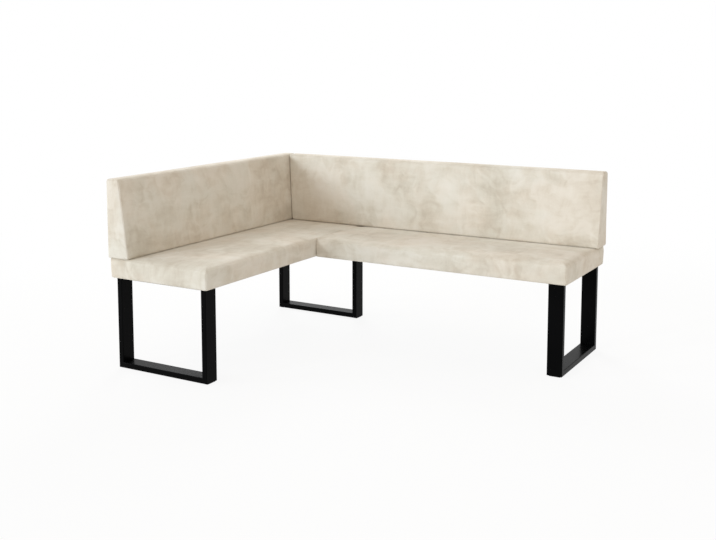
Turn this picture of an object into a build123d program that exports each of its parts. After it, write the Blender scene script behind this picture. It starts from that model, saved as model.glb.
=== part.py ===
from build123d import *
import math
import os

# Corner bench: two upholstered seats that meet in a corner, two leaning backs and three sled legs.
# Sizes are in millimetres. +X runs along the long wing, +Y to the back and +Z up.
# The origin is on the floor, under the middle of the bench's outer box.

os.makedirs("parts", exist_ok=True)

# Seats
long_wing = 1800.0  # outer length of the seats along X
short_wing = 1380.0  # outer length of the seats along Y
seat_depth = 540.0  # each seat, rear side to front side
seat_underside = 411.0  # floor to the underside of the seats
seat_edge = 88.5  # underside to the ledge that the backs stand on
seat_crown = 8.0  # swell of the free part of a seat above that ledge
crown_run = 110.0  # width of the slope that leads up to the crown
crown_margin = 5.0  # flat strip between the crown and what bounds it
seat_corner = 14.0  # rounding of the upright corners
seat_roll = 20.0  # rounding of the free top edges
tight_roll = 8.0  # the same at the seam and under the backs
hem_round = 8.0  # rounding of the bottom edges
side_draw = 3.0  # how far the sides draw in towards the hem
seam_gap = 0.6  # between the two seats

# Backs
back_height = 350.0  # ledge to the top of the backs
back_foot = 115.0  # depth from the seat's rear side to the inner face, at the foot
back_head = 68.0  # the same at the top
back_swell = 5.0  # swell of the inner face between foot and top
back_proud = 5.0  # how far the backs stand out past the seats
back_round = 12.0  # rounding of the edges
corner_gap = 0.4  # between the two backs
corner_reach = 20.0  # how far the corner's cut runs past the backs

# Cover, foam and timber
fabric = 2.0  # bare fabric, where it is folded under a frame
seat_wadding = 10.0  # fabric and wadding on the sides of a seat
back_wadding = 10.0  # the same on the inner face, top and ends of a back
seat_tuck = 26.0  # fabric folded under a seat frame
back_tuck = 14.0  # fabric folded under a back frame
seat_foam = 31.0
back_foam = 25.0
deck_thick = 6.0  # plywood
back_board = 12.0  # plywood
dust_cover = 1.0
rail_high = 38.0
rail_thick = 22.0
rear_rail_wide = 64.0
cross_rails = 2  # in each seat
leg_board_thick = 22.0
leg_board_margin = 10.0  # board past the leg's inner face
back_rail_high = 30.0
upright_thick = 18.0

# Sled legs
tube_wide = 70.0
tube_thin = 25.0
tube_wall = 2.0
tube_round = 2.5
leg_plate = 5.0
leg_front_inset = 28.0  # seat's front side to the leg
leg_rear_inset = 20.0  # seat's rear side to the leg
short_leg_inset = 26.0  # free end of the short wing to its leg
corner_leg_inset = 31.0  # corner end of the short wing to its leg
long_leg_inset = 24.0  # free end of the long wing to its leg
glide_high = 3.0
glide_long = 50.0
glide_wide = 19.0

# Fixings
bolt = 8.0  # thread diameter of the leg and back bolts
bolt_slack = 0.2  # thread to tee nut, all round
hole_slack = 0.5  # thread to a plain hole, all round
head_flats = 13.0
head_high = 5.3
washer_wide = 22.0
washer_thick = 1.6
washer_room = 1.0  # dust cover round a washer
washer_inset = 5.0  # folded fabric to a washer
nut_flange = 20.0
nut_flange_thick = 1.5
nut_barrel = 10.0
nut_barrel_long = 9.0
leg_bolts_each = 4
leg_bolt_margin = 40.0  # ends of a leg board to its outer bolts
back_bolts_each = 4
back_bolt_inset = 150.0  # end of a seat to the first back bolt
link_long = 90.0  # plates that join the seats
link_wide = 40.0
link_thick = 3.0
link_inset = 90.0  # seat's front side, and back, to a link plate
screw = 4.8
screw_long = 30.0
screw_slack = 0.2
screw_head = 9.0
screw_head_high = 2.5
screw_step = 20.0

# Places that follow from these sizes
left = -long_wing / 2
right = long_wing / 2
front = -short_wing / 2
rear = short_wing / 2
inner_x = left + seat_depth
inner_y = rear - seat_depth
seat_ledge = seat_underside + seat_edge
back_top = seat_ledge + back_height
frame_bottom = seat_underside + fabric
frame_top = frame_bottom + rail_high
deck_top = frame_top + deck_thick
foam_top = deck_top + seat_foam
rear_rail_far = seat_wadding + rear_rail_wide
bolt_line = seat_tuck + washer_inset + washer_wide / 2
front_rail_near = seat_depth - seat_wadding - rail_thick
back_frame_bottom = seat_ledge + fabric
back_frame_top = back_top - back_wadding
bar_top = glide_high + tube_thin
plate_bottom = seat_underside - leg_plate
leg_span = seat_depth - leg_front_inset - leg_rear_inset

# Where each wing runs along its own length, and what each side's top edge is: west, east, south, north
wing_start = {"short": front, "long": inner_x + seam_gap}
wing_stop = {"short": rear, "long": right}
wing_bounds = {
    "short": (left, inner_x, front, rear),
    "long": (inner_x + seam_gap, right, inner_y, rear),
}
end_names = {"short": ("free_end", "corner_end"), "long": ("seam_end", "free_end")}
wing_rolls = (tight_roll, seat_roll, seat_roll, tight_roll)
crown_edges = {
    "short": (back_foot, seat_roll, seat_roll, back_foot),
    "long": (tight_roll, seat_roll, seat_roll, back_foot),
}


# A place in plan, from the distance along a wing and the depth from its rear side
def plan_point(wing, along, depth):
    if wing == "short":
        return (left + depth, along)
    return (along, rear - depth)


# A rectangle in plan, as the builder wants it: X size, then Y size
def plan_size(wing, length, width):
    if wing == "short":
        return (width, length)
    return (length, width)


# The cross-section of a wing: local X is the depth from its rear side, local Y the height
def section_plane(wing, along):
    if wing == "short":
        return Plane(origin=(left, along, 0), x_dir=(1, 0, 0), z_dir=(0, -1, 0))
    return Plane(origin=(along, rear, 0), x_dir=(0, -1, 0), z_dir=(-1, 0, 0))


def evenly(start, stop, count):
    step = (stop - start) / (count - 1)
    return [start + step * number for number in range(count)]


def between(start, stop, count):
    step = (stop - start) / (count + 1)
    return [start + step * (number + 1) for number in range(count)]


def keep(piece, label):
    piece.part.label = label
    export_step(piece.part, f"parts/{label}.step")


# A straight board: from start to stop along a wing, from near to far in depth, with round holes
def board(label, wing, run, reach, heights, holes=(), hole_radius=bolt / 2 + hole_slack):
    start, stop = run
    near, far = reach
    bottom, top = heights
    with BuildPart() as plank:
        with BuildSketch(Plane.XY.offset(bottom)):
            with Locations(plan_point(wing, (start + stop) / 2, (near + far) / 2)):
                Rectangle(*plan_size(wing, stop - start, far - near))
            if holes:
                with Locations(*holes):
                    Circle(hole_radius, mode=Mode.SUBTRACT)
        extrude(amount=top - bottom)
    keep(plank, label)


# Sled legs: where each stands, as an upright plane along its span with the floor's centre as origin
short_leg_y = front + short_leg_inset + tube_wide / 2
corner_leg_y = rear - corner_leg_inset - tube_wide / 2
long_leg_x = right - long_leg_inset - tube_wide / 2
leg_mid_depth = leg_rear_inset + leg_span / 2
leg_planes = {
    "short_leg": Plane(origin=(left + leg_mid_depth, short_leg_y, 0), x_dir=(1, 0, 0), z_dir=(0, -1, 0)),
    "corner_leg": Plane(origin=(left + leg_mid_depth, corner_leg_y, 0), x_dir=(1, 0, 0), z_dir=(0, -1, 0)),
    "long_leg": Plane(origin=(long_leg_x, rear - leg_mid_depth, 0), x_dir=(0, -1, 0), z_dir=(-1, 0, 0)),
}
leg_bolt_depths = evenly(rear_rail_far + leg_bolt_margin, front_rail_near - leg_bolt_margin, leg_bolts_each)
leg_bolt_points = {
    name: [plane.from_local_coords(Vector(depth - leg_mid_depth, 0, 0)) for depth in leg_bolt_depths]
    for name, plane in leg_planes.items()
}


# A mitred tube of a leg: its outline in the leg's plane, less the same outline one wall smaller
def tube(label, plane, outline, bore, long_axis):
    with BuildPart() as pipe:
        with BuildSketch(plane):
            Polygon(*outline, align=None)
        extrude(amount=tube_wide / 2, both=True)
        fillet(pipe.edges().filter_by(long_axis), radius=tube_round)
        with BuildSketch(plane):
            Polygon(*bore, align=None)
        extrude(amount=tube_wide / 2 - tube_wall, both=True, mode=Mode.SUBTRACT)
    keep(pipe, label)


half_span = leg_span / 2
for leg, plane in leg_planes.items():
    span_axis = Axis(plane.origin, plane.x_dir)
    for side, sign in (("rear", -1), ("front", 1)):
        outer = sign * half_span
        inner = sign * (half_span - tube_thin)
        wall = sign * tube_wall
        tube(
            f"{leg}_{side}_post",
            plane,
            [(outer, glide_high), (outer, plate_bottom), (inner, plate_bottom), (inner, bar_top)],
            [
                (outer - wall, glide_high + tube_wall),
                (outer - wall, plate_bottom),
                (inner + wall, plate_bottom),
                (inner + wall, bar_top - tube_wall),
            ],
            Axis.Z,
        )
    tube(
        f"{leg}_bottom_bar",
        plane,
        [
            (-half_span, glide_high),
            (half_span, glide_high),
            (half_span - tube_thin, bar_top),
            (tube_thin - half_span, bar_top),
        ],
        [
            (tube_wall - half_span, glide_high + tube_wall),
            (half_span - tube_wall, glide_high + tube_wall),
            (half_span - tube_thin + tube_wall, bar_top - tube_wall),
            (tube_thin - half_span - tube_wall, bar_top - tube_wall),
        ],
        span_axis,
    )
    with BuildPart() as top_plate:
        with BuildSketch(plane):
            with Locations((0, plate_bottom + leg_plate / 2)):
                Rectangle(leg_span, leg_plate)
        extrude(amount=tube_wide / 2, both=True)
        with Locations(*[point + Vector(0, 0, seat_underside) for point in leg_bolt_points[leg]]):
            Hole(bolt / 2 + hole_slack, depth=leg_plate)
    keep(top_plate, f"{leg}_top_plate")
    with BuildPart() as glides:
        with BuildSketch(plane):
            with Locations(*[(sign * (half_span - tube_thin / 2), glide_high / 2) for sign in (-1, 1)]):
                Rectangle(glide_wide, glide_high)
        extrude(amount=glide_long / 2, both=True)
    keep(glides, f"{leg}_glides")

# Back bolts, in the middle of each rear rail, and the screws of the two link plates
back_bolt_places = {
    wing: evenly(wing_start[wing] + back_bolt_inset, wing_stop[wing] - back_bolt_inset, back_bolts_each)
    for wing in wing_start
}
back_bolt_points = {
    wing: [plan_point(wing, along, bolt_line) for along in places]
    for wing, places in back_bolt_places.items()
}
link_places = [inner_y + link_inset, rear - back_foot - link_inset]
short_screw_x = inner_x - seat_wadding - rail_thick / 2
long_screw_x = inner_x + seam_gap + seat_wadding + rail_thick / 2
screw_rows = [place + sign * screw_step / 2 for place in link_places for sign in (-1, 1)]
screw_points = {
    "short": [(short_screw_x, row) for row in screw_rows],
    "long": [(long_screw_x, row) for row in screw_rows],
}
screw_hole = screw / 2 + screw_slack


# The outline of a seat cover at one height, with each side moved in by its own amount
def seat_outline(bounds, insets, corner):
    west, east, south, north = bounds
    in_west, in_east, in_south, in_north = insets
    size_x = east - in_east - west - in_west
    size_y = north - in_north - south - in_south
    with Locations((west + in_west + size_x / 2, south + in_south + size_y / 2)):
        RectangleRounded(size_x, size_y, corner)


round_steps = (0, 18, 36, 54, 72, 90)  # degrees round the hem and the roll


# Heights and insets of a seat cover's sides: the hem's round, the drawn-in side, then the roll
def seat_profile():
    for angle in round_steps:
        turn = math.radians(angle)
        inset = side_draw + hem_round * (1 - math.sin(turn))
        yield hem_round * (1 - math.cos(turn)), (inset,) * 4
    yield (hem_round + seat_edge - seat_roll) / 2, (side_draw / 3,) * 4
    for angle in round_steps:
        turn = math.radians(angle)
        insets = tuple(roll * (1 - math.cos(turn)) for roll in wing_rolls)
        yield seat_edge - seat_roll * (1 - math.sin(turn)), insets


for wing in wing_start:
    bounds = wing_bounds[wing]
    west, east, south, north = bounds
    start, stop = wing_start[wing], wing_stop[wing]
    middle = ((west + east) / 2, (south + north) / 2)
    inside = (east - west - 2 * seat_wadding, north - south - 2 * seat_wadding)
    opening = (east - west - 2 * seat_tuck, north - south - 2 * seat_tuck)
    bolts = back_bolt_points[wing]
    crown_insets = [edge + crown_margin for edge in crown_edges[wing]]

    # Fabric and wadding: a rolled block, a crown on its free part, hollow and open below
    with BuildPart() as seat_cover:
        for height, insets in seat_profile():
            with BuildSketch(Plane.XY.offset(seat_underside + height)):
                seat_outline(bounds, insets, seat_corner)
        loft(ruled=True)
        for rise, run in ((0, 0), (0.7, 0.4), (1, 1)):
            with BuildSketch(Plane.XY.offset(seat_ledge + rise * seat_crown)):
                seat_outline(bounds, [inset + run * crown_run for inset in crown_insets], seat_corner)
        loft()
        with BuildSketch(Plane.XY.offset(frame_bottom)):
            with Locations(middle):
                Rectangle(*inside)
        extrude(amount=foam_top - frame_bottom, mode=Mode.SUBTRACT)
        with BuildSketch(Plane.XY.offset(seat_underside)):
            with Locations(middle):
                Rectangle(*opening)
            with Locations(*screw_points[wing]):
                Circle(screw_hole)
        extrude(amount=fabric, mode=Mode.SUBTRACT)
        with BuildSketch(Plane.XY.offset(foam_top)):
            with Locations(*bolts):
                Circle(bolt / 2 + hole_slack)
        extrude(amount=seat_ledge - foam_top, mode=Mode.SUBTRACT)
    keep(seat_cover, f"{wing}_seat_cover")

    ends = (start + seat_wadding, stop - seat_wadding)
    depth = (seat_wadding, seat_depth - seat_wadding)
    board(f"{wing}_seat_foam", wing, ends, depth, (deck_top, foam_top), bolts)
    board(f"{wing}_seat_deck", wing, ends, depth, (frame_top, deck_top), bolts)

    # Timber frame: long rails between the end rails, cross rails and leg boards between the long rails
    frame_heights = (frame_bottom, frame_top)
    rail_run = (ends[0] + rail_thick, ends[1] - rail_thick)
    cross_reach = (rear_rail_far, front_rail_near)
    board(f"{wing}_seat_rear_rail", wing, rail_run, (seat_wadding, rear_rail_far), frame_heights, bolts)
    rail_screws = screw_points[wing]
    front_screws = rail_screws if wing == "short" else ()
    front_reach = (front_rail_near, depth[1])
    board(f"{wing}_seat_front_rail", wing, rail_run, front_reach, frame_heights, front_screws, screw_hole)
    first_end, last_end = end_names[wing]
    first_screws = rail_screws if wing == "long" else ()
    first_run = (ends[0], rail_run[0])
    board(f"{wing}_seat_{first_end}_rail", wing, first_run, depth, frame_heights, first_screws, screw_hole)
    board(f"{wing}_seat_{last_end}_rail", wing, (rail_run[1], ends[1]), depth, frame_heights)
    for number, along in enumerate(between(start, stop, cross_rails), 1):
        run = (along - rail_thick / 2, along + rail_thick / 2)
        board(f"{wing}_seat_cross_rail_{number}", wing, run, cross_reach, frame_heights)
    if wing == "short":
        first_leg_end = start + short_leg_inset + tube_wide + leg_board_margin
        last_leg_end = stop - corner_leg_inset - tube_wide - leg_board_margin
        leg_boards = {
            "short_leg": (rail_run[0], first_leg_end),
            "corner_leg": (last_leg_end, rail_run[1]),
        }
    else:
        leg_boards = {"long_leg": (stop - long_leg_inset - tube_wide - leg_board_margin, rail_run[1])}
    nut_holes = []
    for leg, run in leg_boards.items():
        points = [(point.X, point.Y) for point in leg_bolt_points[leg]]
        nut_holes += points
        heights = (frame_bottom, frame_bottom + leg_board_thick)
        board(f"{leg}_board", wing, run, cross_reach, heights, points, nut_barrel / 2)

    # Dust cover in the hem's opening, with holes for the leg bolts and the back bolts' washers
    with BuildPart() as dust_sheet:
        with BuildSketch(Plane.XY.offset(frame_bottom - dust_cover)):
            with Locations(middle):
                Rectangle(*opening)
            with Locations(*nut_holes):
                Circle(bolt / 2 + hole_slack, mode=Mode.SUBTRACT)
            with Locations(*bolts):
                Circle(washer_wide / 2 + washer_room, mode=Mode.SUBTRACT)
        extrude(amount=dust_cover)
    keep(dust_sheet, f"{wing}_seat_dust_cover")


# Depth of a back's sloping line at a height, moved towards the rear by an inset
def slope_depth(height, inset):
    share = (height - seat_ledge) / back_height
    return back_foot + (back_head - back_foot) * share - inset


# A point of a back's swollen inner face, at a share of its height, moved out by a gap
def face_point(share, gap=0.0):
    straight = back_foot + (back_head - back_foot) * share
    swell = back_swell * (1 - (2 * share - 1) ** 2)
    return (straight + swell + gap, seat_ledge + back_height * share)


# A back's own outline: upright outside, sloping and swollen inside
def back_outline():
    with BuildLine() as outline:
        Polyline(face_point(1), (-back_proud, back_top), (-back_proud, seat_ledge), face_point(0))
        ThreePointArc(face_point(0), face_point(0.5), face_point(1))
    make_face(outline.edges())


# What the short back takes out of the long one: its swollen face, one gap further out and past both ends
def corner_outline():
    low = face_point(-corner_reach / back_height, corner_gap)
    high = face_point(1 + corner_reach / back_height, corner_gap)
    outside = -back_proud - corner_reach
    with BuildLine() as outline:
        ThreePointArc(low, face_point(0.5, corner_gap), high)
        Polyline(high, (outside, high[1]), (outside, low[1]), low)
    make_face(outline.edges())


# A slice of a back between two heights, from a depth to its sloping line
def back_slice(near, inset, bottom, top, mode=Mode.ADD):
    low_corner = (slope_depth(bottom, inset), bottom)
    high_corner = (slope_depth(top, inset), top)
    Polygon((near, bottom), low_corner, high_corner, (near, top), align=None, mode=mode)


# A timber of a back, from its board to its foam, the same section all along each run
def back_timber(label, wing, runs, bottom, top, nut_holes=()):
    with BuildPart() as timber:
        for start, stop in runs:
            with BuildSketch(section_plane(wing, stop)):
                back_slice(back_board, foam_inset, bottom, top)
            extrude(amount=stop - start)
        if nut_holes:
            with BuildSketch(Plane.XY.offset(bottom)):
                with Locations(*nut_holes):
                    Circle(nut_barrel / 2)
            extrude(amount=top - bottom, mode=Mode.SUBTRACT)
    keep(timber, label)


back_start = {"short": front - back_proud, "long": left}
back_stop = {"short": rear + back_proud, "long": right + back_proud}
core_start = {"short": front + back_wadding, "long": left + back_foot + back_swell + back_wadding}
core_stop = {"short": rear - back_wadding, "long": right - back_wadding}
foam_inset = back_wadding + back_foam
back_rail_top = back_frame_bottom + back_rail_high
top_rail_bottom = back_frame_top - back_rail_high

for wing in wing_start:
    run = (core_start[wing], core_stop[wing])
    bolts = back_bolt_points[wing]

    # Fabric and wadding: the rounded wedge, hollow, and open below between its tucked edges
    with BuildPart() as back_cover:
        with BuildSketch(section_plane(wing, back_stop[wing])):
            back_outline()
        extrude(amount=back_stop[wing] - back_start[wing])
        fillet(back_cover.edges(), radius=back_round)
        if wing == "long":
            with BuildSketch(section_plane("short", back_stop["short"] + corner_reach)):
                corner_outline()
            extrude(amount=back_proud + back_foot + back_swell + 2 * corner_reach, mode=Mode.SUBTRACT)
        with BuildSketch(section_plane(wing, run[1])):
            back_slice(0, back_wadding, back_frame_bottom, back_frame_top)
        extrude(amount=run[1] - run[0], mode=Mode.SUBTRACT)
        with BuildSketch(section_plane(wing, run[1] - back_tuck)):
            back_slice(back_tuck, back_wadding + back_tuck, seat_ledge, back_frame_bottom)
        extrude(amount=run[1] - run[0] - 2 * back_tuck, mode=Mode.SUBTRACT)
    keep(back_cover, f"{wing}_back_cover")

    with BuildPart() as back_panel:
        with BuildSketch(section_plane(wing, run[1])):
            with Locations((back_board / 2, (back_frame_bottom + back_frame_top) / 2)):
                Rectangle(back_board, back_frame_top - back_frame_bottom)
        extrude(amount=run[1] - run[0])
    keep(back_panel, f"{wing}_back_board")

    with BuildPart() as foam_slab:
        with BuildSketch(section_plane(wing, run[1])):
            back_slice(0, back_wadding, back_frame_bottom, back_frame_top)
            back_slice(0, foam_inset, back_frame_bottom, back_frame_top, Mode.SUBTRACT)
        extrude(amount=run[1] - run[0])
    keep(foam_slab, f"{wing}_back_foam")

    back_timber(f"{wing}_back_bottom_rail", wing, [run], back_frame_bottom, back_rail_top, bolts)
    back_timber(f"{wing}_back_top_rail", wing, [run], top_rail_bottom, back_frame_top)
    bolt_places = back_bolt_places[wing]
    places = [(one + other) / 2 for one, other in zip(bolt_places, bolt_places[1:])]
    places += [run[0] + upright_thick / 2, run[1] - upright_thick / 2]
    if wing == "long":
        places.append((run[0] + bolt_places[0]) / 2)
    slabs = [(along - upright_thick / 2, along + upright_thick / 2) for along in places]
    back_timber(f"{wing}_back_uprights", wing, slabs, back_rail_top, top_rail_bottom)


# A ring or disc at each point, from one height up to another
def discs(points, bottom, top, radius, bore=0.0):
    with BuildSketch(Plane.XY.offset(bottom)) as rings:
        with Locations(*points):
            Circle(radius)
            if bore:
                Circle(bore, mode=Mode.SUBTRACT)
    extrude(rings.sketch, amount=top - bottom)


def bolt_group(label, points, head_top, shank_top):
    with BuildPart() as group:
        with BuildSketch(Plane.XY.offset(head_top - head_high)):
            with Locations(*points):
                RegularPolygon(head_flats / 2, 6, major_radius=False)
        extrude(amount=head_high)
        discs(points, head_top, shank_top, bolt / 2)
    keep(group, label)


def nut_group(label, points, seat):
    bore = bolt / 2 + bolt_slack
    with BuildPart() as group:
        discs(points, seat, seat + nut_flange_thick, nut_flange / 2, bore)
        discs(points, seat - nut_barrel_long, seat, nut_barrel / 2, bore)
    keep(group, label)


# Fixings
leg_points = [(point.X, point.Y) for points in leg_bolt_points.values() for point in points]
leg_nut_seat = frame_bottom + leg_board_thick
bolt_group("leg_bolts", leg_points, plate_bottom, leg_nut_seat + nut_flange_thick)
nut_group("leg_tee_nuts", leg_points, leg_nut_seat)
back_points = [point for points in back_bolt_points.values() for point in points]
bolt_group("back_bolts", back_points, frame_bottom - washer_thick, back_rail_top + nut_flange_thick)
nut_group("back_tee_nuts", back_points, back_rail_top)
with BuildPart() as washers:
    discs(back_points, frame_bottom - washer_thick, frame_bottom, washer_wide / 2, bolt / 2 + hole_slack)
keep(washers, "back_bolt_washers")

link_screws = screw_points["short"] + screw_points["long"]
link_bottom = seat_underside - link_thick
with BuildPart() as links:
    with BuildSketch(Plane.XY.offset(link_bottom)):
        with Locations(*[(inner_x + seam_gap / 2, place) for place in link_places]):
            Rectangle(link_long, link_wide)
        with Locations(*link_screws):
            Circle(screw_hole, mode=Mode.SUBTRACT)
    extrude(amount=link_thick)
keep(links, "link_plates")
with BuildPart() as screws:
    discs(link_screws, link_bottom - screw_head_high, link_bottom, screw_head / 2)
    discs(link_screws, link_bottom, link_bottom + screw_long, screw / 2)
keep(screws, "link_screws")
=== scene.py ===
import math

import bmesh
import bpy
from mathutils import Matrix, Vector, noise


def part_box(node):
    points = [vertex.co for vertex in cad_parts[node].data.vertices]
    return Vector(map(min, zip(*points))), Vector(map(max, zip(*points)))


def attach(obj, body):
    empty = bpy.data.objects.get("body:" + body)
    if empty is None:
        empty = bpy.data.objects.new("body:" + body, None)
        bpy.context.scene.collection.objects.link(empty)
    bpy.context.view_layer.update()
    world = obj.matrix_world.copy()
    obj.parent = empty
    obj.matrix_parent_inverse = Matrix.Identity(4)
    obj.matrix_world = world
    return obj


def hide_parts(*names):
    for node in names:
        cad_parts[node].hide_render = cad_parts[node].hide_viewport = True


# Corner bench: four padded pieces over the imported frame, black sled legs, soft studio light
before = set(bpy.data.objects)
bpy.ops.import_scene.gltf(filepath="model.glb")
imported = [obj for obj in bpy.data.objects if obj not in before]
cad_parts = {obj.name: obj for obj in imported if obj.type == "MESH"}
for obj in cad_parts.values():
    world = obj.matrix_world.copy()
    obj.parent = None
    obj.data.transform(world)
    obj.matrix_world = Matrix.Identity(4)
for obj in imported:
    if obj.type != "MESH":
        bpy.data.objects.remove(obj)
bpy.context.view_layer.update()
scene = bpy.context.scene
scene.view_settings.view_transform = "Standard"
print("frame loaded:", len(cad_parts), "nodes")

camera = {
    "place": (2.2345, -3.9217, 1.3837),
    "yaw": 30.073,  # degrees to the left of straight ahead
    "tilt": -6.465,  # degrees from level, downwards
    "lens": 50.84,
    "sensor": 36.0,
    "shift": -0.14,
}


def setCamera():
    data = bpy.data.cameras.new("camera")
    data.sensor_width = camera["sensor"]
    data.lens = camera["lens"]
    data.shift_y = camera["shift"]
    eye = bpy.data.objects.new("camera", data)
    eye.location = camera["place"]
    eye.rotation_euler = (math.radians(90 + camera["tilt"]), 0, math.radians(camera["yaw"]))
    scene.collection.objects.link(eye)
    scene.camera = eye
    print("camera set")


# Node helpers. The owner of the nodes is a material or the world. A socket goes by its label,
# or by its number as in0, in1 and so on, and is set to a value or linked to another node's socket.
def newFinish(name):
    finish = bpy.data.materials.new(name)
    finish.use_nodes = True
    return finish, finish.node_tree.nodes["Principled BSDF"]


def setSocket(owner, node, key, value):
    numbered = key.startswith("in") and key[2:].isdigit()
    socket = node.inputs[int(key[2:]) if numbered else key]
    if isinstance(value, bpy.types.NodeSocket):
        owner.node_tree.links.new(value, socket)
    else:
        socket.default_value = value


def addNode(owner, kind, settings=None, **sockets):
    node = owner.node_tree.nodes.new(kind)
    for key, value in (settings or {}).items():
        setattr(node, key, value)
    for key, value in sockets.items():
        setSocket(owner, node, key, value)
    return node


def calc(owner, operation, first, second):
    node = addNode(owner, "ShaderNodeMath", {"operation": operation}, in0=first, in1=second)
    return node.outputs["Value"]


def vectorCalc(owner, operation, first, second):
    node = addNode(owner, "ShaderNodeVectorMath", {"operation": operation}, in0=first, in1=second)
    return node.outputs["Vector"]


def stretchPoint(owner, point, stretch):
    return addNode(owner, "ShaderNodeMapping", Vector=point, Scale=stretch).outputs["Vector"]


def objectPoint(owner, stretch=(1, 1, 1)):
    point = addNode(owner, "ShaderNodeTexCoord").outputs["Object"]
    return stretchPoint(owner, point, stretch)


def noiseAt(owner, point, look, space="3D", output="Fac"):
    node = addNode(owner, "ShaderNodeTexNoise", {"noise_dimensions": space}, Vector=point,
                   Scale=look["scale"], Detail=look["detail"], Roughness=look["roughness"])
    return node.outputs[output]


def softStep(owner, value, low, high, atLow, atHigh):
    node = addNode(owner, "ShaderNodeMapRange", {"interpolation_type": "SMOOTHSTEP"}, Value=value)
    for key, number in (("From Min", low), ("From Max", high), ("To Min", atLow), ("To Max", atHigh)):
        setSocket(owner, node, key, number)
    return node.outputs["Result"]


def ramp(owner, fac, stops, colours):
    node = addNode(owner, "ShaderNodeValToRGB", Fac=fac)
    points = node.color_ramp.elements
    while len(points) < len(stops):
        points.new(1.0)
    for point, stop, colour in zip(points, stops, colours):
        point.position = stop
        point.color = (*colour, 1.0)
    return node.outputs["Color"]


def blendColour(owner, fac, first, second):
    node = addNode(owner, "ShaderNodeMix", {"data_type": "RGBA"}, in0=fac, in6=first, in7=second)
    return node.outputs[2]


# A bump is given as its strength and its distance
def bumpFrom(owner, height, bump, under=None):
    strength, distance = bump
    node = addNode(owner, "ShaderNodeBump", Height=height, Strength=strength, Distance=distance)
    if under is not None:
        setSocket(owner, node, "Normal", under)
    return node.outputs["Normal"]


# Roughness that runs with a tone, from its value at tone 0 to its value at tone 1
def setRoughness(finish, shader, tone, ends):
    node = addNode(finish, "ShaderNodeMapRange", Value=tone)
    for key, number in zip(("To Min", "To Max"), ends):
        setSocket(finish, node, key, number)
    setSocket(finish, shader, "Roughness", node.outputs["Result"])


# Rays of the eye, also by way of a mirror or through glass
def seenRays(owner):
    path = addNode(owner, "ShaderNodeLightPath")
    seen = path.outputs["Is Camera Ray"]
    for ray in ("Is Glossy Ray", "Is Transmission Ray"):
        seen = calc(owner, "MAXIMUM", seen, path.outputs[ray])
    return seen


def showWhite(owner, output, share, plain, white):
    mix = addNode(owner, "ShaderNodeMixShader", in0=share, in1=plain.outputs[0], in2=white.outputs[0])
    setSocket(owner, owner.node_tree.nodes[output], "Surface", mix.outputs[0])


# Short-pile upholstery fabric, brushed by hand: soft clouds, strokes, smears and a fine pile,
# laid on the cloth in metres
fabric = {
    "colours": (  # from the deepest to the palest
        (0.560, 0.490, 0.395),
        (0.685, 0.628, 0.532),
        (0.760, 0.712, 0.625),
        (0.815, 0.775, 0.700),
    ),
    "stops": (0.24, 0.45, 0.60, 0.82),  # tones at which those four colours lie
    "tints": ((0.680, 0.670, 0.585), (0.782, 0.676, 0.560)),  # cool and warm
    "tintStops": (0.40, 0.60),
    "tintShare": 0.22,
    "drift": {"scale": 3.0, "detail": 4.0, "roughness": 0.6},  # between cool and warm
    "warp": {"scale": 2.4, "detail": 2.0, "roughness": 0.5, "reach": 0.07},
    "curl": {"scale": 6.0, "detail": 2.0, "roughness": 0.5, "reach": 0.075},
    "clouds": {"scale": 4.2, "detail": 5.0, "roughness": 0.60, "share": 0.8},
    "strokes": (
        {"stretch": (4.5, 27.0, 1.0), "share": 0.33},  # along the wing
        {"stretch": (31.0, 6.0, 1.0), "share": 0.24},  # across it
    ),
    "stroke": {"scale": 1.0, "detail": 4.0, "roughness": 0.62},
    "grain": {"scale": 95.0, "detail": 3.0, "roughness": 0.7, "share": 0.10},
    "pile": {"scale": 1400.0, "detail": 2.0, "roughness": 0.6},
    "roughness": (0.94, 0.78),
    "napBump": (0.12, 0.004),
    "pileBump": (0.25, 0.0005),
    "specular": 0.20,
    "sheen": 0.25,
    "sheenRoughness": 0.40,
    "sheenTint": (1.0, 0.965, 0.90),
}
# Smears where the nap was wiped: a line of this width in a noise, broken up by a coarser noise
smears = (
    {"scale": 4.5, "width": 0.085, "gate": 3.2, "share": 0.12, "offset": (3.1, 8.2, 0.0)},
    {"scale": 9.0, "width": 0.100, "gate": 5.5, "share": 0.10, "offset": (11.4, 2.6, 0.0)},
    {"scale": 6.0, "width": 0.085, "gate": 4.4, "share": -0.10, "offset": (6.7, 15.3, 0.0)},
    {"scale": 12.0, "width": 0.100, "gate": 6.5, "share": -0.07, "offset": (19.0, 5.1, 0.0)},
)
smearLine = {"detail": 1.5, "roughness": 0.45}
smearGate = {"detail": 2.0, "roughness": 0.5, "shut": 0.47, "open": 0.60}
noiseMiddle = 0.5


def wanderPoint(finish, point, wander):
    way = noiseAt(finish, point, wander, "2D", "Color")
    centred = vectorCalc(finish, "SUBTRACT", way, (noiseMiddle, noiseMiddle, noiseMiddle))
    moved = addNode(finish, "ShaderNodeVectorMath", {"operation": "SCALE"}, in0=centred,
                    Scale=wander["reach"])
    return vectorCalc(finish, "ADD", point, moved.outputs["Vector"])


def smearAt(finish, point, smear):
    start = vectorCalc(finish, "ADD", point, smear["offset"])
    field = noiseAt(finish, start, {**smearLine, "scale": smear["scale"]}, "2D")
    off = calc(finish, "ABSOLUTE", calc(finish, "SUBTRACT", field, noiseMiddle), 0.0)
    line = softStep(finish, off, 0.0, smear["width"], 1.0, 0.0)
    broken = noiseAt(finish, start, {**smearGate, "scale": smear["gate"]}, "2D")
    gate = softStep(finish, broken, smearGate["shut"], smearGate["open"], 0.0, 1.0)
    return calc(finish, "MULTIPLY", calc(finish, "MULTIPLY", line, gate), smear["share"])


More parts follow.
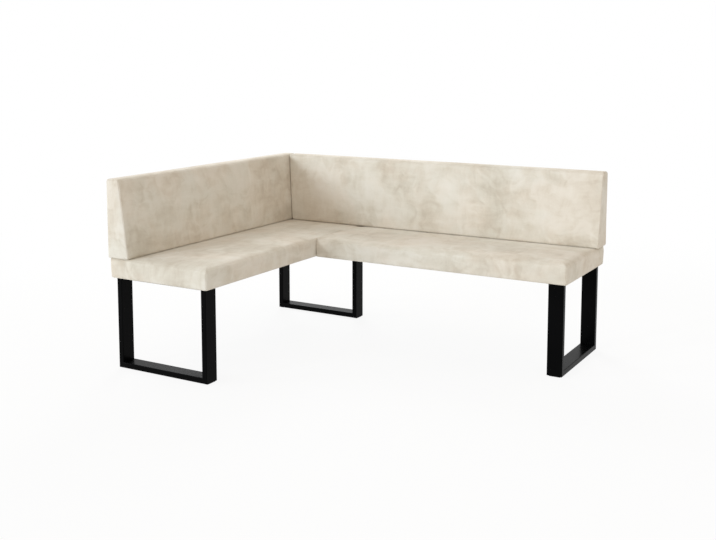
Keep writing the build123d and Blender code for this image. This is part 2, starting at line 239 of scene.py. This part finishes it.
def fabricFinish():
    finish, shader = newFinish("brushed_fabric")
    cloth = addNode(finish, "ShaderNodeUVMap", {"uv_map": "cloth"}).outputs["UV"]
    point = wanderPoint(finish, cloth, fabric["warp"])
    curled = wanderPoint(finish, point, fabric["curl"])
    clouds = noiseAt(finish, point, fabric["clouds"], "2D")
    layers = []
    for stroke in fabric["strokes"]:
        drawn = stretchPoint(finish, curled, stroke["stretch"])
        layers.append((noiseAt(finish, drawn, fabric["stroke"], "2D"), stroke["share"]))
    layers.append((noiseAt(finish, cloth, fabric["grain"], "2D"), fabric["grain"]["share"]))
    cloudShare = fabric["clouds"]["share"]
    tone = calc(finish, "ADD", calc(finish, "MULTIPLY", clouds, cloudShare), noiseMiddle * (1 - cloudShare))
    for layer, share in layers:
        centred = calc(finish, "SUBTRACT", layer, noiseMiddle)
        tone = calc(finish, "ADD", tone, calc(finish, "MULTIPLY", centred, share))
    for smear in smears:
        tone = calc(finish, "ADD", tone, smearAt(finish, curled, smear))
    colour = ramp(finish, tone, fabric["stops"], fabric["colours"])
    drift = noiseAt(finish, point, fabric["drift"], "2D")
    tint = ramp(finish, drift, fabric["tintStops"], fabric["tints"])
    setSocket(finish, shader, "Base Color", blendColour(finish, fabric["tintShare"], colour, tint))
    setRoughness(finish, shader, tone, fabric["roughness"])
    nap = bumpFrom(finish, tone, fabric["napBump"])
    pile = noiseAt(finish, cloth, fabric["pile"], "2D")
    setSocket(finish, shader, "Normal", bumpFrom(finish, pile, fabric["pileBump"], nap))
    shader.inputs["Specular IOR Level"].default_value = fabric["specular"]
    shader.inputs["Sheen Weight"].default_value = fabric["sheen"]
    shader.inputs["Sheen Roughness"].default_value = fabric["sheenRoughness"]
    shader.inputs["Sheen Tint"].default_value = (*fabric["sheenTint"], 1.0)
    return finish


# Satin powder coat: near black, with the coat's fine orange peel
powderCoat = {
    "colours": ((0.0009, 0.0009, 0.0010), (0.0015, 0.0015, 0.0016)),
    "stops": (0.35, 0.65),
    "clouds": {"scale": 6.0, "detail": 4.0, "roughness": 0.5},
    "peel": {"scale": 900.0, "detail": 2.0, "roughness": 0.55},
    "roughness": (0.24, 0.32),
    "bump": (0.12, 0.0004),
    "specular": 0.035,
}


def powderCoatFinish():
    finish, shader = newFinish("powder_coat")
    point = objectPoint(finish)
    clouds = noiseAt(finish, point, powderCoat["clouds"])
    peel = noiseAt(finish, point, powderCoat["peel"])
    setSocket(finish, shader, "Base Color", ramp(finish, clouds, powderCoat["stops"], powderCoat["colours"]))
    setRoughness(finish, shader, clouds, powderCoat["roughness"])
    setSocket(finish, shader, "Normal", bumpFrom(finish, peel, powderCoat["bump"]))
    shader.inputs["Specular IOR Level"].default_value = powderCoat["specular"]
    return finish


# Timber and plywood: rings cut lengthwise, with fine pores
woods = {
    "softwood": {
        "colours": ((0.50, 0.33, 0.18), (0.68, 0.50, 0.30)),
        "stretch": (0.6, 0.6, 8.0),
        "rings": 6.0,
    },
    "plywood": {
        "colours": ((0.52, 0.37, 0.22), (0.70, 0.54, 0.35)),
        "stretch": (1.4, 0.5, 1.4),
        "rings": 3.0,
    },
}
woodGrain = {
    "stops": (0.2, 0.8),
    "distortion": 5.0,
    "detail": 3.0,
    "pores": {"scale": 60.0, "detail": 3.0, "roughness": 0.5},
    "poreStretch": 10,
    "ringShare": 0.7,
    "poreShare": 0.3,
    "bump": (0.2, 0.0006),
    "roughness": 0.68,
}


def woodFinish(name):
    finish, shader = newFinish(name)
    wood = woods[name]
    rings = addNode(finish, "ShaderNodeTexWave", {"wave_type": "RINGS"},
                    Vector=objectPoint(finish, wood["stretch"]), Scale=wood["rings"],
                    Distortion=woodGrain["distortion"], Detail=woodGrain["detail"]).outputs["Fac"]
    poreStretch = tuple(woodGrain["poreStretch"] * stretch for stretch in wood["stretch"])
    pores = noiseAt(finish, objectPoint(finish, poreStretch), woodGrain["pores"])
    tone = calc(finish, "ADD", calc(finish, "MULTIPLY", rings, woodGrain["ringShare"]),
                calc(finish, "MULTIPLY", pores, woodGrain["poreShare"]))
    setSocket(finish, shader, "Base Color", ramp(finish, tone, woodGrain["stops"], wood["colours"]))
    setSocket(finish, shader, "Normal", bumpFrom(finish, pores, woodGrain["bump"]))
    shader.inputs["Roughness"].default_value = woodGrain["roughness"]
    return finish


# Foam, non-woven cloth and plastic: two tones of noise and a bump of the same grain
grains = {
    "foam": {
        "colours": ((0.80, 0.73, 0.50), (0.90, 0.84, 0.64)),
        "scale": 700.0,
        "roughness": 0.95,
        "depth": 0.0012,
    },
    "non_woven": {
        "colours": ((0.012, 0.012, 0.012), (0.03, 0.03, 0.03)),
        "scale": 1500.0,
        "roughness": 0.9,
        "depth": 0.0004,
    },
    "black_plastic": {
        "colours": ((0.016, 0.016, 0.017), (0.026, 0.026, 0.027)),
        "scale": 800.0,
        "roughness": 0.55,
        "depth": 0.0003,
    },
}
grainCells = {"detail": 3.0, "roughness": 0.65, "stops": (0.35, 0.65), "bump": 0.4}


def grainFinish(name):
    finish, shader = newFinish(name)
    grain = grains[name]
    cells = noiseAt(finish, objectPoint(finish), {**grainCells, "scale": grain["scale"]})
    setSocket(finish, shader, "Base Color", ramp(finish, cells, grainCells["stops"], grain["colours"]))
    setSocket(finish, shader, "Normal", bumpFrom(finish, cells, (grainCells["bump"], grain["depth"])))
    shader.inputs["Roughness"].default_value = grain["roughness"]
    return finish


# Zinc plate: pale metal with faint spangle
zinc = {
    "colours": ((0.50, 0.51, 0.53), (0.66, 0.66, 0.65)),
    "stops": (0.0, 0.7),
    "spangle": 260.0,
    "roughness": (0.28, 0.44),
}


def zincFinish():
    finish, shader = newFinish("zinc_plate")
    node = addNode(finish, "ShaderNodeTexVoronoi", Vector=objectPoint(finish), Scale=zinc["spangle"])
    spangle = node.outputs["Distance"]
    setSocket(finish, shader, "Base Color", ramp(finish, spangle, zinc["stops"], zinc["colours"]))
    setRoughness(finish, shader, spangle, zinc["roughness"])
    shader.inputs["Metallic"].default_value = 1.0
    return finish


# Which finish a node gets, by the ending of its name; any other node gets zinc
finishEndings = {
    "foam": ("_foam",),
    "non_woven": ("_dust_cover",),
    "plywood": ("_deck", "_back_board"),
    "softwood": ("_rail", "_rail_1", "_rail_2", "_leg_board", "_uprights"),
    "black_plastic": ("_glides",),
    "powder_coat": ("_post", "_bottom_bar", "_top_plate"),
}


def dressFrame():
    finishes = {"powder_coat": powderCoatFinish()}
    for name in woods:
        finishes[name] = woodFinish(name)
    for name in grains:
        finishes[name] = grainFinish(name)
    plainZinc = zincFinish()
    for name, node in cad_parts.items():
        fitting = (finishes[key] for key, ends in finishEndings.items() if name.endswith(ends))
        finish = next(fitting, plainZinc)
        if not node.material_slots:
            node.data.materials.append(finish)
        for slot in node.material_slots:
            slot.material = finish
    print("frame dressed")


def clamp(value):
    return min(1.0, max(0.0, value))


def easeIn(value):
    return math.sin(clamp(value) * math.pi / 2)


# A pad starts as a block with cuts that crowd towards its edges, where it is rolled and sewn
padCuts = {"first": 0.0016, "growth": 1.36, "step": 0.017}
tiny = 1e-6  # a point nearer to a side than this lies on it


def cutPlaces(low, high):
    near = []
    gap = padCuts["first"]
    place = gap
    while gap < padCuts["step"] and place < (high - low) / 2 - gap / 2:
        near.append(place)
        gap *= padCuts["growth"]
        place += gap
    inner = high - low - 2 * near[-1]
    spans = max(1, round(inner / padCuts["step"]))
    middle = [low + near[-1] + inner * n / spans for n in range(1, spans)]
    return [low + d for d in near] + middle + [high - d for d in reversed(near)]


# The block is cut as a unit cube, then every cut moves to its place
def cutBlock(low, high):
    bm = bmesh.new()
    bmesh.ops.create_cube(bm, size=1.0)
    bmesh.ops.translate(bm, verts=bm.verts, vec=(0.5, 0.5, 0.5))
    for axis in range(3):
        cuts = cutPlaces(low[axis], high[axis])
        ring = [e for e in bm.edges if abs(e.verts[0].co[axis] - e.verts[1].co[axis]) > 0.5]
        bmesh.ops.subdivide_edgering(bm, edges=ring, interp_mode="LINEAR", cuts=len(cuts))
        places = [low[axis], *cuts, high[axis]]
        for vert in bm.verts:
            vert.co[axis] = places[round(vert.co[axis] * (len(cuts) + 1))]
    return bm


# How a point of the block sits: its distance from each side, and which sides are nearest
def readPlace(co, low, high):
    west, east = co.x - low.x, high.x - co.x
    south, north = co.y - low.y, high.y - co.y
    place = {"block": co.copy(), "up": high.z - co.z, "down": co.z - low.z}
    place["sideX"], place["x"], place["outX"] = (
        ("west", west, -1) if west < east else ("east", east, 1))
    place["sideY"], place["y"], place["outY"] = (
        ("south", south, -1) if south < north else ("north", north, 1))
    place["edge"] = min(place["x"], place["y"])
    place["rise"] = place["down"] / (high.z - low.z)
    return place


# Pulls a square corner of two distances onto its round, and says how far each moves in
def roundOff(first, second, radius):
    a, b = radius - first, radius - second
    if a <= 0 or b <= 0:
        return 0.0, 0.0
    share = max(a, b) / math.hypot(a, b)
    return a - a * share, b - b * share


# Rounds the upright corners in plan, then rolls the top edges and the hem
def rollBlock(bm, low, high, style):
    places = []
    zone = style["cornerZone"]
    for vert in bm.verts:
        place = readPlace(vert.co, low, high)
        dx, dy = place["x"], place["y"]
        inX, inY = (1.0, 0.0) if dx < dy else (0.0, 1.0)
        moveX = moveY = 0.0
        if dx < zone and dy < zone:
            square = style["square"](place["sideX"])
            a, b = zone - dx, zone - dy
            share = max(a, b) / (a ** square + b ** square) ** (1 / square)
            moveX, moveY = a - a * share, b - b * share
            steep = Vector(((a * share) ** (square - 1), (b * share) ** (square - 1), 0))
            if steep.length > 0:
                inX, inY = steep.normalized().xy
        sides = ((place["sideX"], inX * inX), (place["sideY"], inY * inY))
        place["open"] = sum(style["openness"](side, vert.co) * share for side, share in sides)
        roll = sum(style["roll"](side, vert.co) * share for side, share in sides)
        topIn, topDown = roundOff(place["edge"], place["up"], roll)
        hem = sum(style["hem"](side) * share for side, share in sides)
        hemIn, hemUp = roundOff(place["edge"], place["down"], hem)
        nearEdge = max(0.0, 1 - place["edge"] / zone)
        draw = style["draw"] * (1 - place["rise"]) ** 2 * nearEdge
        inward = topIn + hemIn + draw + style["start"] * place["open"] * nearEdge
        vert.co.x -= place["outX"] * (moveX + inX * inward)
        vert.co.y -= place["outY"] * (moveY + inY * inward)
        vert.co.z += hemUp - topDown
        places.append(place)
    return places


# Where on the cloth each cover is cut, in metres
clothCuts = {
    "short_seat_pad": (1.54, 11.42),
    "long_seat_pad": (7.11, 12.59),
    "short_back_pad": (17.80, 13.47),
    "long_back_pad": (9.07, 4.56),
}


# Lays the cloth on the block: along the wing, and round it from rear to front
def layCloth(bm, places, low, high, wing, cut):
    layer = bm.loops.layers.uv.new("cloth")
    if wing == "short":
        rearSide, frontSide, firstEnd = "west", "east", "south"
    else:
        rearSide, frontSide, firstEnd = "north", "south", "west"
    tall = high.z - low.z

    def onSide(spots, side):
        gap, name = ("x", "sideX") if side in ("west", "east") else ("y", "sideY")
        return all(spot[gap] < tiny and spot[name] == side for spot in spots)

    for face in bm.faces:
        spots = [places[vert.index] for vert in face.verts]
        top = all(spot["up"] < tiny for spot in spots)
        bottom = all(spot["down"] < tiny for spot in spots)
        for loop, spot in zip(face.loops, spots):
            block = spot["block"]
            along, depth = (block.y, block.x - low.x) if wing == "short" else (block.x, high.y - block.y)
            if bottom:
                laid = (along, -tall - depth)
            elif top:
                laid = (along, depth)
            elif onSide(spots, frontSide):
                laid = (along, depth + spot["up"])
            elif onSide(spots, rearSide):
                laid = (along, -spot["up"])
            elif onSide(spots, firstEnd):
                laid = (along - spot["up"], depth)
            else:
                laid = (along + spot["up"], depth)
            loop[layer].uv = (laid[0] + cut[0], laid[1] + cut[1])


def addPad(name, bm, finish):
    mesh = bpy.data.meshes.new(name)
    bmesh.ops.recalc_face_normals(bm, faces=bm.faces)
    bm.to_mesh(mesh)
    bm.free()
    mesh.materials.append(finish)
    mesh.polygons.foreach_set("use_smooth", [True] * len(mesh.polygons))
    pad = bpy.data.objects.new(name, mesh)
    scene.collection.objects.link(pad)
    return pad


# Stuffing: cloth under pressure, held where a point has no give, its swell capped by the give
stuffing = {
    "pressure": 1.6,
    "frames": 20,
    "quality": 5,
    "mass": 0.05,
    "tension": 18.0,
    "bending": 1.2,
    "slack": 0.0002,  # a point with less give than this is held
}


def stuffPad(pad, gives):
    mesh = pad.data
    before = [v.co.copy() for v in mesh.vertices]
    held = pad.vertex_groups.new(name="held")
    held.add([i for i, give in enumerate(gives) if give < stuffing["slack"]], 1.0, "REPLACE")
    cloth = pad.modifiers.new("stuffing", "CLOTH")
    cloth.settings.quality = stuffing["quality"]
    cloth.settings.mass = stuffing["mass"]
    cloth.settings.tension_stiffness = stuffing["tension"]
    cloth.settings.compression_stiffness = stuffing["tension"]
    cloth.settings.bending_stiffness = stuffing["bending"]
    cloth.settings.use_pressure = True
    cloth.settings.uniform_pressure_force = stuffing["pressure"]
    cloth.settings.effector_weights.gravity = 0
    cloth.settings.vertex_group_mass = "held"
    cloth.collision_settings.use_collision = False
    cloth.point_cache.frame_start = 1
    cloth.point_cache.frame_end = stuffing["frames"]
    for step in range(1, stuffing["frames"] + 1):
        scene.frame_set(step)
    swollen = pad.evaluated_get(bpy.context.evaluated_depsgraph_get())
    swells = [v.co - start for v, start in zip(swollen.data.vertices, before)]
    pad.modifiers.remove(cloth)
    pad.vertex_groups.clear()
    scene.frame_set(1)
    most = max(s.length for s in swells)
    for vert, start, swell, give in zip(mesh.vertices, before, swells, gives):
        size = swell.length
        if size > 0 and give > 0:
            vert.co = start + swell * (give * math.tanh(size / give) / size)
    print(pad.name, "stuffed, largest free swell", round(most * 1000, 1), "mm")


# Unevenness of hand-pulled fabric over foam
unevenness = {"size": 0.0007, "wave": 0.17}


def unsettle(pad, gives):
    mesh = pad.data
    normals = [v.normal.copy() for v in mesh.vertices]
    most = max(gives)
    for vert, normal, give in zip(mesh.vertices, normals, gives):
        lift = noise.noise(vert.co / unevenness["wave"]) * unevenness["size"]
        vert.co += normal * lift * give / most


# A sewn seam: a narrow groove with slight puckers along it
seam = {
    "depth": 0.0013,
    "width": 0.0026,
    "reach": 4,  # in widths
    "pucker": 0.35,
    "stitch": 0.011,
    "none": 1.0,  # the gap of a point that no seam comes near
}


def sewSeams(pad, gaps):
    mesh = pad.data
    normals = [v.normal.copy() for v in mesh.vertices]
    for vert, normal, gap in zip(mesh.vertices, normals, gaps):
        if gap < seam["reach"] * seam["width"]:
            pucker = 1 + seam["pucker"] * noise.noise(vert.co / seam["stitch"])
            vert.co -= normal * seam["depth"] * pucker * math.exp(-(gap / seam["width"]) ** 2)


smoothLevels = 1


def finishPad(pad, node, gives, gaps):
    stuffPad(pad, gives)
    unsettle(pad, gives)
    sewSeams(pad, gaps)
    smooth = pad.modifiers.new("smooth", "SUBSURF")
    smooth.levels = smooth.render_levels = smoothLevels
    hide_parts(node)
    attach(pad, "root")


shortSeatLow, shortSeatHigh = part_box("short_seat_cover")
longSeatLow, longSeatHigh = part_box("long_seat_cover")
shortBackLow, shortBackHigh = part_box("short_back_cover")
longBackLow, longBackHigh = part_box("long_back_cover")
ledge = shortBackLow.z  # where the backs stand on the seats

seatPad = {
    "start": 0.0018,  # free sides start this far inside the cover and swell back
    "cornerZone": 0.028,
    "freeCorner": 4.0,  # squareness of the upright corners
    "buttedCorner": 30.0,
    "freeRoll": 0.023,
    "buttedRoll": 0.0022,
    "seamGap": 0.0002,
    "seamTurn": 0.070,  # run over which the free edge tightens to the seam
    "dip": 0.030,  # extra roll of the seam's edges where it runs under the back
    "dipRun": 0.032,
    "dipBehind": 0.008,  # how far under the back the dip is deepest
    "hemRoll": 0.008,
    "draw": 0.003,
    "crown": 0.0055,
    "crownRun": 0.10,
    "edgeCrown": 0.35,  # share of the crown that is left at a free edge
    "edgeRun": 0.14,
    "topGive": 0.0030,
    "sideGive": 0.0022,
    "sideCut": 0.05,  # share of the swell's half wave that is cut off at a side's foot and top
    "sewnFrom": 0.4,  # share of the top roll at which the sewn corners start
    "underBack": 0.113,  # depth that a back covers
    "tuck": 0.026,  # hem folded under, round the dust cover
    "tuckStep": 0.002,
    "recess": 0.0024,
}


def makeSeat(wing, low, high, finish):
    name = f"{wing}_seat_pad"
    blockLow = low.copy()
    blockHigh = Vector((high.x, high.y, ledge))
    dipPlace = high.y - seatPad["underBack"] + seatPad["dipBehind"]
    seamSide = "east" if wing == "short" else "west"
    if wing == "long":
        blockLow.x = shortSeatHigh.x + seatPad["seamGap"]

    # The short seat's inner side is free in front and butted behind, where the long seat meets it
    def openness(side, co):
        if side in ("west", "north"):
            return 0.0
        if wing == "short" and side == "east":
            return clamp((longSeatLow.y - co.y) / seatPad["seamTurn"])
        return 1.0

    def square(side):
        return seatPad["buttedCorner"] if wing == "long" and side == "west" else seatPad["freeCorner"]

    def roll(side, co):
        tight = seatPad["buttedRoll"]
        if side == seamSide:
            tight += seatPad["dip"] * math.exp(-((co.y - dipPlace) / seatPad["dipRun"]) ** 2)
        return tight + (seatPad["freeRoll"] - tight) * openness(side, co)

    def hem(side):
        return seatPad["hemRoll"]

    style = {**seatPad, "openness": openness, "square": square, "roll": roll, "hem": hem}
    bm = cutBlock(blockLow, blockHigh)
    places = rollBlock(bm, blockLow, blockHigh, style)
    layCloth(bm, places, blockLow, blockHigh, wing, clothCuts[name])
    gives = []
    gaps = []
    for vert, place in zip(bm.verts, places):
        block = place["block"]
        fromBack = blockHigh.y - block.y
        if wing == "short":
            fromBack = min(fromBack, block.x - blockLow.x)
        free = easeIn((fromBack - seatPad["underBack"]) / seatPad["crownRun"])
        inside = easeIn(place["edge"] / seatPad["edgeRun"])
        fall = (1 - seatPad["edgeCrown"]) * (1 - inside) * place["open"]
        vert.co.z += seatPad["crown"] * free * (1 - fall) * place["rise"] ** 2
        if place["down"] < tiny:
            gives.append(0.0)
            under = (place["edge"] - seatPad["tuck"]) / seatPad["tuckStep"]
            vert.co.z += seatPad["recess"] * clamp(under)
        elif place["up"] < tiny:
            closeBy = min(1.0, place["edge"] / seatPad["cornerZone"])
            gives.append(seatPad["topGive"] * free * max(closeBy, place["open"]))
        else:
            wave = seatPad["sideCut"] + (1 - 2 * seatPad["sideCut"]) * place["rise"]
            gives.append(seatPad["sideGive"] * place["open"] * math.sin(math.pi * wave))
        sewn = place["up"] > seatPad["freeRoll"] * seatPad["sewnFrom"] and place["down"] > tiny
        gaps.append(max(place["x"], place["y"]) if sewn else seam["none"])
    pad = addPad(name, bm, finish)
    finishPad(pad, f"{wing}_seat_cover", gives, gaps)


backPad = {
    "foot": 0.120,  # depth over the outer face, at the seat
    "head": 0.073,  # the same at the top
    "start": 0.001,
    "cornerZone": 0.013,
    "freeCorner": 3.0,
    "buttedCorner": 2.2,
    "innerRoll": 0.019,
    "freeRoll": 0.012,
    "buttedRoll": 0.008,
    "innerHem": 0.0155,
    "outerHem": 0.005,  # the board is close behind the outer face
    "endHem": 0.011,
    "draw": 0.0,
    "rigid": 0.018,  # strip along the inner and outer face that leans as one
    "swell": 0.0035,
    "innerGive": 0.0030,
    "endGive": 0.0015,
    "lift": 0.0004,  # clear of the seats
    "endRun": 0.25,  # run over which the butted end's lean fades
    "cornerGap": 0.0004,
    "cornerRun": 0.12,  # run over which the swell fades towards the corner and the free ends
}


def makeBack(wing, low, high, finish):
    name = f"{wing}_back_pad"
    blockLow = low + Vector((0, 0, backPad["lift"]))
    blockHigh = high.copy()
    if wing == "short":
        blockHigh.x = blockLow.x + backPad["foot"]
        across, inward, outer = 0, 1, blockLow.x
        innerSide, outerSide = "east", "west"
    else:
        blockLow.x = shortBackLow.x + backPad["foot"] + backPad["cornerGap"]
        blockLow.y = blockHigh.y - backPad["foot"]
        across, inward, outer = 1, -1, blockHigh.y
        innerSide, outerSide = "south", "north"

    def butted(side):
        return wing == "long" and side == "west"

    def openness(side, co):
        return 0.0 if butted(side) else 1.0

    def square(side):
        return backPad["buttedCorner"] if butted(side) else backPad["freeCorner"]

    def roll(side, co):
        if butted(side):
            return backPad["buttedRoll"]
        return backPad["innerRoll"] if side == innerSide else backPad["freeRoll"]

    def hem(side):
        return {innerSide: backPad["innerHem"], outerSide: backPad["outerHem"]}.get(side, backPad["endHem"])

    style = {**backPad, "openness": openness, "square": square, "roll": roll, "hem": hem}
    bm = cutBlock(blockLow, blockHigh)
    places = rollBlock(bm, blockLow, blockHigh, style)
    layCloth(bm, places, blockLow, blockHigh, wing, clothCuts[name])
    lean = backPad["foot"] - backPad["head"]
    gives = []
    gaps = []
    for vert, place in zip(bm.verts, places):
        share = place["rise"]
        depth = (vert.co[across] - outer) * inward
        follow = clamp((depth - backPad["rigid"]) / (backPad["foot"] - 2 * backPad["rigid"]))
        if wing == "short":
            fromCorner = blockHigh.y - backPad["foot"] - vert.co.y
            endSide, endGap, faceSide, faceGap = place["sideY"], place["y"], place["sideX"], place["x"]
        else:
            fromCorner = vert.co.x - blockLow.x
            vert.co.x -= lean * share * max(0.0, 1 - fromCorner / backPad["endRun"])
            endSide, endGap, faceSide, faceGap = place["sideX"], place["x"], place["sideY"], place["y"]
        plump = math.sin(math.pi * share) * easeIn(fromCorner / backPad["cornerRun"])
        if not butted(endSide):
            plump *= easeIn(endGap / backPad["cornerRun"])
        vert.co[across] += inward * follow * (backPad["swell"] * plump - lean * share)
        onButted = butted(endSide) and endGap < tiny
        if place["down"] < tiny:
            gives.append(0.0)
        elif faceGap < tiny and faceSide == innerSide:
            gives.append(backPad["innerGive"] * plump)
        elif faceGap < tiny or onButted:
            gives.append(0.0)
        else:
            gives.append(backPad["endGive"])
        toEdge = min(faceGap, place["up"])
        sewn = (endGap < tiny or toEdge < tiny) and not butted(endSide)
        gaps.append(max(endGap, toEdge) if sewn else seam["none"])
    pad = addPad(name, bm, finish)
    finishPad(pad, f"{wing}_back_cover", gives, gaps)


floorSheet = {
    "reach": 40.0,
    "segments": 64,
    "paint": (0.88, 0.88, 0.88),
    "roughness": 0.9,
    "specular": 0.1,
    "near": 1.6,  # from here out to far the floor fades into the white
    "far": 4.2,
    "white": 0.90,  # share of plain white that the eye sees near the bench
}


# The light meets bare paint; the eye sees mostly plain white, so that a faint shadow stays
def makeFloor():
    finish, shader = newFinish("floor_paint")
    shader.inputs["Base Color"].default_value = (*floorSheet["paint"], 1.0)
    shader.inputs["Roughness"].default_value = floorSheet["roughness"]
    shader.inputs["Specular IOR Level"].default_value = floorSheet["specular"]
    away = addNode(finish, "ShaderNodeVectorMath", {"operation": "LENGTH"}, in0=objectPoint(finish))
    fade = softStep(finish, away.outputs["Value"], floorSheet["near"], floorSheet["far"],
                    floorSheet["white"], 1.0)
    white = addNode(finish, "ShaderNodeEmission", Strength=1.0)
    share = calc(finish, "MULTIPLY", seenRays(finish), fade)
    showWhite(finish, "Material Output", share, shader, white)
    bm = bmesh.new()
    bmesh.ops.create_circle(bm, cap_ends=True, radius=floorSheet["reach"], segments=floorSheet["segments"])
    mesh = bpy.data.meshes.new("floor")
    bm.to_mesh(mesh)
    bm.free()
    mesh.materials.append(finish)
    floor = bpy.data.objects.new("floor", mesh)
    scene.collection.objects.link(floor)
    print("floor laid")


skyLight = {"colour": (1.0, 0.943, 0.876), "level": 0.69}
# A lamp of level 1 lights a white sheet that faces it to full white
lamps = {
    "key": {
        "towards": (-0.38, -0.90, 0.225),
        "far": 24.0,
        "size": 4.2,
        "colour": (0.80, 0.90, 1.0),
        "level": 0.295,
    },
    "side": {
        "towards": (-0.72, -0.65, 0.24),
        "far": 24.0,
        "size": 6.0,
        "colour": (0.80, 0.90, 1.0),
        "level": 0.245,
    },
    "rear": {
        "towards": (-0.52, 0.69, 0.50),
        "far": 6.0,
        "size": 2.4,
        "colour": (0.94, 0.98, 1.0),
        "level": 0.38,
    },
    "fill": {
        "towards": (0.82, -0.27, 0.50),
        "far": 4.0,
        "size": 2.4,
        "colour": (1.0, 0.94, 0.86),
        "level": 0.045,
    },
}
lampAim = Vector((0.0, 0.0, 0.5))


def setLights():
    world = bpy.data.worlds.new("studio")
    scene.world = world
    world.use_nodes = True
    sky = world.node_tree.nodes["Background"]
    sky.inputs["Color"].default_value = (*skyLight["colour"], 1.0)
    sky.inputs["Strength"].default_value = skyLight["level"]
    white = addNode(world, "ShaderNodeBackground", Color=(1.0, 1.0, 1.0, 1.0))
    showWhite(world, "World Output", seenRays(world), sky, white)
    for name, lamp in lamps.items():
        data = bpy.data.lights.new(name, "AREA")
        data.shape = "DISK"
        data.size = lamp["size"]
        data.color = lamp["colour"]
        data.energy = lamp["level"] * (math.pi * lamp["far"]) ** 2
        light = bpy.data.objects.new(name, data)
        towards = Vector(lamp["towards"]).normalized()
        light.location = lampAim + towards * lamp["far"]
        light.rotation_euler = towards.to_track_quat("Z", "Y").to_euler()
        scene.collection.objects.link(light)
    print("lights set")


setCamera()
dressFrame()
cloth = fabricFinish()
makeSeat("short", shortSeatLow, shortSeatHigh, cloth)
makeSeat("long", longSeatLow, longSeatHigh, cloth)
makeBack("short", shortBackLow, shortBackHigh, cloth)
makeBack("long", longBackLow, longBackHigh, cloth)
makeFloor()
setLights()
